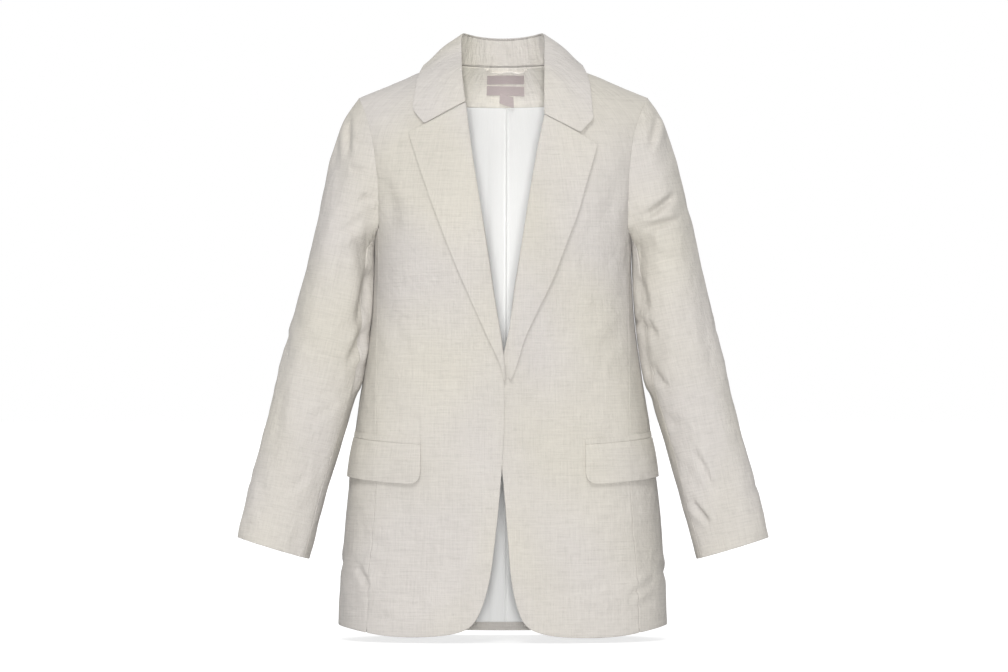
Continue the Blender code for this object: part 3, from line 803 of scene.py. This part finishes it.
RIGHT_SLEEVE_CREASES = (
    Crease(Face.FRONT, (-0.212, -0.064), (-0.2125, -0.132), 0.0059, 0.0049, 0.001),
    Crease(Face.FRONT, (-0.226, -0.085), (-0.229, -0.150), 0.0027, 0.0063),
    Crease(Face.FRONT, (-0.206, -0.106), (-0.184, -0.106), 0.0031, 0.0032),
    Crease(Face.FRONT, (-0.210, -0.1450), (-0.184, -0.1510), 0.0038, 0.0040),
    Crease(Face.FRONT, (-0.172, -0.176), (-0.196, -0.190), 0.0059, 0.0045, 0.001),
    Crease(Face.FRONT, (-0.190, -0.212), (-0.232, -0.236), 0.0031, 0.0072, 0.003),
    Crease(Face.FRONT, (-0.182, -0.276), (-0.2000, -0.358), 0.0072, 0.0059, 0.002),
    Crease(Face.FRONT, (-0.188, -0.360), (-0.214, -0.408), 0.0061, 0.0054, 0.002),
    Crease(Face.FRONT, (-0.212, -0.250), (-0.226, -0.330), 0.0024, 0.0081),
    Crease(Face.FRONT, (-0.236, -0.405), (-0.278, -0.372), 0.0024, 0.0072, 0.002),
    Crease(Face.FRONT, (-0.228, -0.470), (-0.262, -0.486), 0.0031, 0.0054, 0.001),
    Crease(Face.FRONT, (-0.262, -0.560), (-0.300, -0.585), 0.0027, 0.0063, 0.002),
    Crease(Face.FRONT, (-0.300, -0.470), (-0.320, -0.560), 0.0017, 0.0099),
    Crease(Face.RIGHT, (-0.040, -0.370), (0.030, -0.395), 0.0017, 0.0080, 0.005),
    Crease(Face.RIGHT, (-0.030, -0.430), (0.025, -0.415), 0.0014, 0.0070, -0.003),
    Crease(Face.RIGHT, (-0.020, -0.200), (0.030, -0.250), 0.0010, 0.0100, 0.003),
    Crease(Face.RIGHT, (-0.050, -0.560), (0.000, -0.585), 0.0010, 0.0060, 0.002),
    Crease(Face.BACK, (-0.172, -0.190), (-0.215, -0.235), 0.0059, 0.0072, 0.004),
    Crease(Face.BACK, (-0.190, -0.300), (-0.235, -0.345), 0.0061, 0.0067, 0.004),
    Crease(Face.BACK, (-0.205, -0.395), (-0.262, -0.410), 0.0065, 0.0063, 0.004),
    Crease(Face.BACK, (-0.225, -0.450), (-0.285, -0.440), 0.0051, 0.0059, -0.003),
    Crease(Face.BACK, (-0.260, -0.560), (-0.310, -0.590), 0.0031, 0.0063, 0.002),
)

LEFT_SLEEVE_CREASES = (
    Crease(Face.FRONT, (0.2120, -0.066), (0.1990, -0.120), 0.0051, 0.0045, 0.001),
    Crease(Face.FRONT, (0.2260, -0.082), (0.2240, -0.150), 0.0024, 0.0072),
    Crease(Face.FRONT, (0.1900, -0.2100), (0.2350, -0.1790), 0.0076, 0.0049, -0.002),
    Crease(Face.FRONT, (0.1890, -0.2260), (0.2430, -0.2120), 0.0059, 0.0045, -0.001),
    Crease(Face.FRONT, (0.1960, -0.2600), (0.2450, -0.2750), 0.0024, 0.0081, 0.002),
    Crease(Face.FRONT, (0.1860, -0.2900), (0.1960, -0.3400), 0.0041, 0.0054, 0.001),
    Crease(Face.FRONT, (0.1810, -0.3490), (0.2130, -0.3730), 0.0078, 0.0045, 0.001),
    Crease(Face.FRONT, (0.1900, -0.3740), (0.2060, -0.3540), 0.0038, 0.0032),
    Crease(Face.FRONT, (0.2010, -0.4180), (0.2230, -0.4410), 0.0059, 0.0045, 0.001),
    Crease(Face.FRONT, (0.2230, -0.4890), (0.2520, -0.4915), 0.0055, 0.0040, 0.001),
    Crease(Face.FRONT, (0.2580, -0.5290), (0.2810, -0.5670), 0.0059, 0.0040, 0.001),
    Crease(Face.FRONT, (0.2730, -0.5520), (0.2880, -0.5810), 0.0041, 0.0036, -0.001),
    Crease(Face.FRONT, (0.2550, -0.5980), (0.2810, -0.6290), 0.0059, 0.0040, 0.001),
    Crease(Face.FRONT, (0.2700, -0.3500), (0.2950, -0.4500), 0.0017, 0.0108),
    Crease(Face.LEFT, (-0.035, -0.360), (0.035, -0.385), 0.0017, 0.0080, 0.005),
    Crease(Face.LEFT, (-0.025, -0.425), (0.020, -0.405), 0.0014, 0.0070, -0.003),
    Crease(Face.LEFT, (-0.020, -0.190), (0.034, -0.235), 0.0010, 0.0100, 0.003),
    Crease(Face.LEFT, (-0.060, -0.590), (-0.010, -0.570), 0.0010, 0.0060, 0.002),
    Crease(Face.BACK, (0.172, -0.180), (0.218, -0.228), 0.0059, 0.0072, -0.004),
    Crease(Face.BACK, (0.192, -0.315), (0.240, -0.350), 0.0059, 0.0067, -0.004),
    Crease(Face.BACK, (0.208, -0.405), (0.264, -0.398), 0.0065, 0.0063, -0.004),
    Crease(Face.BACK, (0.232, -0.470), (0.290, -0.450), 0.0044, 0.0059, 0.003),
    Crease(Face.BACK, (0.262, -0.600), (0.314, -0.575), 0.0031, 0.0063, 0.002),
)

LINING_CREASES = (
    Crease(Face.BACK, (0.0046, 0.040), (0.0036, -0.860), 0.0045, 0.0008),
    Crease(Face.BACK, (-0.0260, -0.140), (-0.0300, -0.700), -0.0012, 0.0060, 0.002),
    Crease(Face.BACK, (0.0320, -0.120), (0.0400, -0.760), -0.0014, 0.0080, 0.003),
)


def sleeve(side: str, creases: tuple[Crease, ...]) -> tuple[Assembly, Assembly]:
    """Return a sleeve's upper and under piece, whose threads run down the arm.

    Args:
        side: "right" or "left", the wearer's.
        creases: The sleeve's creases.

    Returns:
        The two assemblies.
    """
    sign = -1.0 if side == "right" else 1.0
    top = Vector((sign * 0.196, -0.003, -0.115))
    foot = Vector((sign * 0.315, -0.036, -0.680))
    outside = Vector((sign, 0.0, 0.2))
    body = ("front_" + side, "back")
    beside = ("front_" + side, "side_panel_" + side, "back")
    upper = Cut("sleeve_upper_" + side, (0.29, 0.64), 0.1355, Hang.HUNG, body)
    under = Cut("sleeve_under_" + side, (0.145, 0.50), 0.0439, Hang.HUNG, body)
    return (
        Assembly(Axis(foot, top, outside, ARM_RADIUS), (upper,), creases, 0.0034, beside),
        Assembly(Axis(foot, top, -outside, ARM_RADIUS), (under,), creases, 0.0026, beside),
    )


def shell_assemblies() -> list[Assembly]:
    """Describe the coat's own cloth: fronts, side panels, back and both sleeves.

    Returns:
        One assembly for each group, with the body before the sleeves that settle on it.
    """
    fronts = tuple(
        Cut(name + side, flat, area, Hang.DRAPED, ("back",))
        for side in ("right", "left")
        for name, flat, area in (("front_", (0.26, 0.80), 0.134), ("side_panel_", (0.165, 0.56), 0.0847))
    )
    back = Cut("back", (0.46, 0.80), 0.294, Hang.DRAPED, ("front_right", "front_left"))
    groups = [
        Assembly(torso_axis((0, -1, 0)), fronts, BODY_CREASES, 0.0015),
        Assembly(torso_axis((0, 1, 0)), (back,), BODY_CREASES, 0.0016),
    ]
    groups += sleeve("right", RIGHT_SLEEVE_CREASES)
    groups += sleeve("left", LEFT_SLEEVE_CREASES)
    return groups


def turned_assemblies() -> list[Assembly]:
    """Describe what is turned back or sewn on outside: lapels, collar and pockets.

    Returns:
        One assembly for each group.
    """
    lapels = tuple(
        Cut("lapel_" + side, (0.14, 0.39), 0.019, Hang.FOLDED, ("front_" + side,))
        for side in ("right", "left")
    )
    pockets = tuple(
        Cut(name + side, flat, area, Hang.DRAPED, ("front_" + side, "side_panel_" + side))
        for side in ("right", "left")
        for name, flat, area in (
            ("pocket_welt_", (0.0125, 0.125), 0.0011),
            ("pocket_flap_", (0.066, 0.125), 0.0077),
        )
    )
    fall = Cut("collar_fall", (0.090, 0.48), 0.0345, Hang.FOLDED, ("back", "collar_stand"))
    stand = Cut("collar_stand", (0.042, 0.20), 0.0056, Hang.DRAPED, ("back",), Slot.STAND_PAINTED_BRIGHTER)
    return [
        Assembly(torso_axis((0, -1, 0)), lapels, (), 0.0008),
        Assembly(torso_axis((0, -1, 0)), pockets, (), 0.0008),
        Assembly(torso_axis((0, 1, 0)), (fall,), (), 0.0),
        Stretched(torso_axis((0, 1, 0)), (stand,), rise=0.0056, drop=0.0018, inset=0.0024),
    ]


def inside_assemblies() -> list[Assembly]:
    """Describe what shows inside the back: neck facing, lining, loop and plain labels.

    Returns:
        One assembly for each group.
    """
    inside = ("back",)
    facing = Cut("back_neck_facing", (0.16, 0.077), 0.0101, Hang.DRAPED, inside, Slot.FACING_PAINTED_BRIGHTER)
    lining = Cut("lining_back", (0.34, 0.76), 0.221, Hang.HUNG, inside, Slot.LINING)
    loop = Cut("hanger_loop", (0.011, 0.066), 0.0003, Hang.HUNG, inside, Slot.FACING_PAINTED_BRIGHTER, 2)
    labels = tuple(
        Cut(name, flat, area, Hang.LAID, ("back_neck_facing",), Slot.LABEL)
        for name, flat, area in (
            ("neck_label_upper", (0.0145, 0.055), 0.00075),
            ("neck_label_lower", (0.0145, 0.055), 0.00078),
            ("size_tab", (0.0160, 0.021), 0.00032),
        )
    )
    axis = torso_axis((0, 1, 0))
    return [
        Stretched(axis, (facing,), rise=0.0012, span=0.3),
        Assembly(axis, (loop,) + labels, (), 0.0),
        Assembly(axis, (lining,), LINING_CREASES, 0.0012),
    ]


@dataclass(frozen=True)
class Studio:
    """A pale level floor, soft light and a long lens from the front.

    Args:
        floor_z: The floor's height, a little under the hem.
        floor_size: The floor's side.
        distance: How far the camera stands from the coat's middle.
        view_width: How much width the picture takes in at the front of the coat.
        view_depth: How far forward of the middle that width is measured.
        centre: The picture's centre, across and up.
        sensor: The camera sensor's width, in millimetres.
        sight: How far the camera sees.
        key_from: Where the sun stands.
        panel_behind: How far behind the camera the panel light stands.
        panel_z: The panel light's height.
    """

    floor_z: float = -0.788
    floor_size: float = 40.0
    distance: float = 8.0
    view_width: float = 1.371
    view_depth: float = 0.060
    centre: Flat = (0.0014, -0.3726)
    sensor: float = 36.0
    sight: float = 100.0
    key_from: Place = (-0.35, -2.6, 2.4)
    panel_behind: float = 0.2
    panel_z: float = -0.34

    def build(self) -> None:
        """Make the floor, the lights and the camera."""
        self.add_floor()
        self.add_world()
        self.add_sun("key", self.key_from, strength=1.25, spread=18.0)
        panel_from = (0.0, -self.distance - self.panel_behind, self.panel_z)
        self.add_panel("lens_fill", panel_from, watts=570.0, size=0.8)
        self.add_camera()

    def add_floor(self) -> None:
        """Lay the floor as one broad sheet."""
        deselect()
        bpy.ops.mesh.primitive_plane_add(size=self.floor_size, location=(0.0, 0.0, self.floor_z))
        floor = bpy.context.active_object
        floor.name = "floor"
        bpy.ops.object.transform_apply(location=True, rotation=True, scale=True)
        paper = Matte("studio_paper", grey(0.42), roughness=0.9, sheen=0.0, glow=0.76)
        floor.data.materials.append(paper.build())

    def add_world(self) -> None:
        """Light the scene from all round, most of all from behind the coat."""
        world = bpy.data.worlds.new("soft_room")
        bpy.context.scene.world = world
        world.use_nodes = True
        nodes = Nodes(world)
        coords = nodes.add("ShaderNodeTexCoord")
        split = nodes.add("ShaderNodeSeparateXYZ")
        nodes.link(coords.outputs["Generated"], split.inputs["Vector"])
        ahead = nodes.add("ShaderNodeMapRange")
        ahead.inputs["From Min"].default_value = -1.0
        nodes.link(split.outputs["Y"], ahead.inputs["Value"])
        stops = [(place, grey(value)) for place, value in ROOM_LIGHT]
        light = nodes.ramp(ahead.outputs["Result"], stops)
        nodes.link(light, world.node_tree.nodes["Background"].inputs["Color"])

    def place_lamp(self, lamp: bpy.types.Light, place: Place) -> None:
        """Put a light in the scene, aimed at the coat's middle.

        Args:
            lamp: The light.
            place: Where it stands.
        """
        holder = bpy.data.objects.new(lamp.name, lamp)
        aim = Vector((0.0, 0.0, self.centre[1])) - Vector(place)
        holder.location = place
        holder.rotation_euler = aim.to_track_quat("-Z", "Y").to_euler()
        bpy.context.scene.collection.objects.link(holder)

    def add_sun(self, name: str, place: Place, strength: float, spread: float) -> None:
        """Add a soft, even light from one side.

        Args:
            name: The light's name.
            place: Where it shines from.
            strength: Its strength.
            spread: Its angular size in degrees.
        """
        lamp = bpy.data.lights.new(name, "SUN")
        lamp.energy = strength
        lamp.angle = math.radians(spread)
        self.place_lamp(lamp, place)

    def add_panel(self, name: str, place: Place, watts: float, size: float) -> None:
        """Add a square panel light, which reaches into the coat's opening from the camera's side.

        Args:
            name: The light's name.
            place: The panel's centre.
            watts: Its power.
            size: Its width and height in metres.
        """
        lamp = bpy.data.lights.new(name, "AREA")
        lamp.energy = watts
        lamp.size = size
        self.place_lamp(lamp, place)

    def add_camera(self) -> None:
        """Stand the camera level in front of the coat."""
        lens = bpy.data.cameras.new("camera")
        lens.sensor_width = self.sensor
        lens.lens = self.sensor * (self.distance - self.view_depth) / self.view_width
        lens.clip_end = self.sight
        camera = bpy.data.objects.new("camera", lens)
        camera.location = (self.centre[0], -self.distance, self.centre[1])
        camera.rotation_euler = (math.radians(90.0), 0.0, 0.0)
        bpy.context.scene.collection.objects.link(camera)
        bpy.context.scene.camera = camera
        bpy.context.scene.view_settings.view_transform = "Standard"


def main() -> None:
    """Build the studio, then the coat group by group."""
    Studio().build()
    finishes = {
        Slot.LINEN: Linen("linen", (0.508, 0.481, 0.428, 1.0), 0.88, 0.10).build(),
        # Painted light: the stand, the facing and the loop get brighter copies of the linen's colour, to
        # make up for the shade inside the neck.
        Slot.STAND_PAINTED_BRIGHTER: Linen("painted_bright_stand_linen", (0.605, 0.573, 0.503, 1.0), 0.88, 0.10).build(),
        Slot.FACING_PAINTED_BRIGHTER: Linen("painted_bright_facing_linen", (0.770, 0.733, 0.642, 1.0), 0.88, 0.10).build(),
        Slot.LINING: Satin("lining", (0.740, 0.740, 0.730, 1.0), 0.55, 0.05).build(),
        Slot.LABEL: Woven("label", (0.500, 0.433, 0.428, 1.0), 0.70, 0.10).build(),
    }
    for assembly in shell_assemblies() + turned_assemblies() + inside_assemblies():
        assembly.build()
        assembly.dress(finishes)
    deselect()


if __name__ == "__main__":
    logging.basicConfig(level=logging.INFO, format="%(message)s")
    main()
